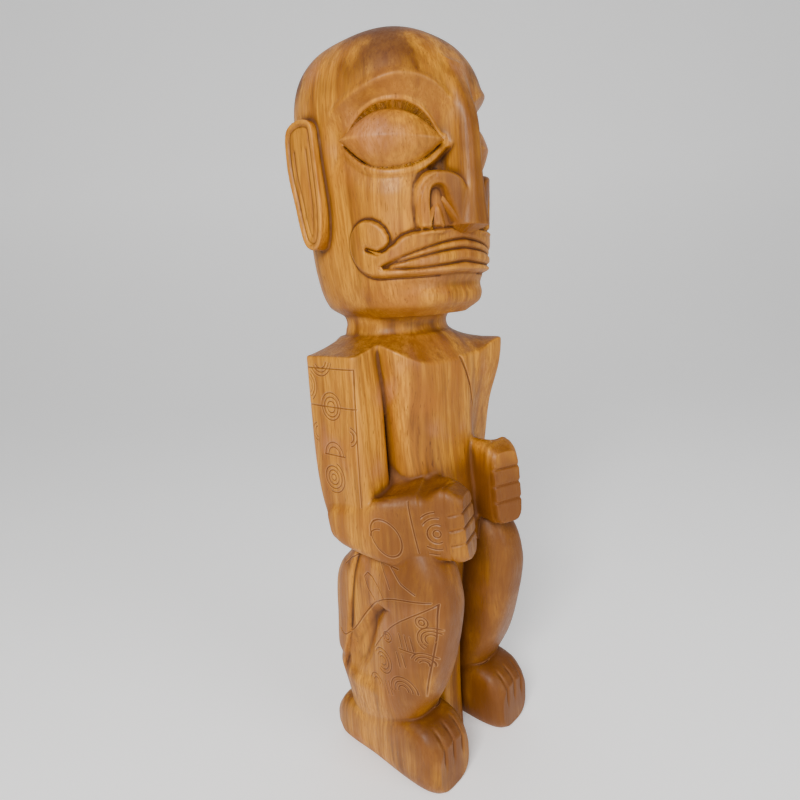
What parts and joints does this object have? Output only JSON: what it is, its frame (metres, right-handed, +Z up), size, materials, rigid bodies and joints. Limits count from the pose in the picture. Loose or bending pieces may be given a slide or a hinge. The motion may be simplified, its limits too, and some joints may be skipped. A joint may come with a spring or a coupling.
{
  "type": "carved standing tiki figure",
  "caption": "Standing tiki figure carved from one hardwood log, with a large head, arched eyes, hands held forward and bent legs.",
  "frame": {"origin": "on the ground under the middle of the figure's box", "axes": "+Z up towards the crown, the face and the toes point to -Y, the figure's own right side is at -X"},
  "size_m": [0.221, 0.2112, 0.8],
  "materials": {
    "wood": "oiled satin"
  },
  "bodies": {
    "root": {"head_block": "wood", "right_ear": "wood", "left_ear": "wood", "right_eye": "wood", "left_eye": "wood", "nose": "wood", "right_nose_wing": "wood", "left_nose_wing": "wood", "upper_lip": "wood", "lower_lip": "wood", "right_mouth_curl": "wood", "left_mouth_curl": "wood", "neck": "wood", "torso": "wood", "right_upper_arm": "wood", "left_upper_arm": "wood", "right_forearm": "wood", "left_forearm": "wood", "right_hand": "wood", "left_hand": "wood", "leg_core": "wood", "right_thigh": "wood", "left_thigh": "wood", "right_calf": "wood", "left_calf": "wood", "right_foot": "wood", "left_foot": "wood"}
  },
  "joints": []
}
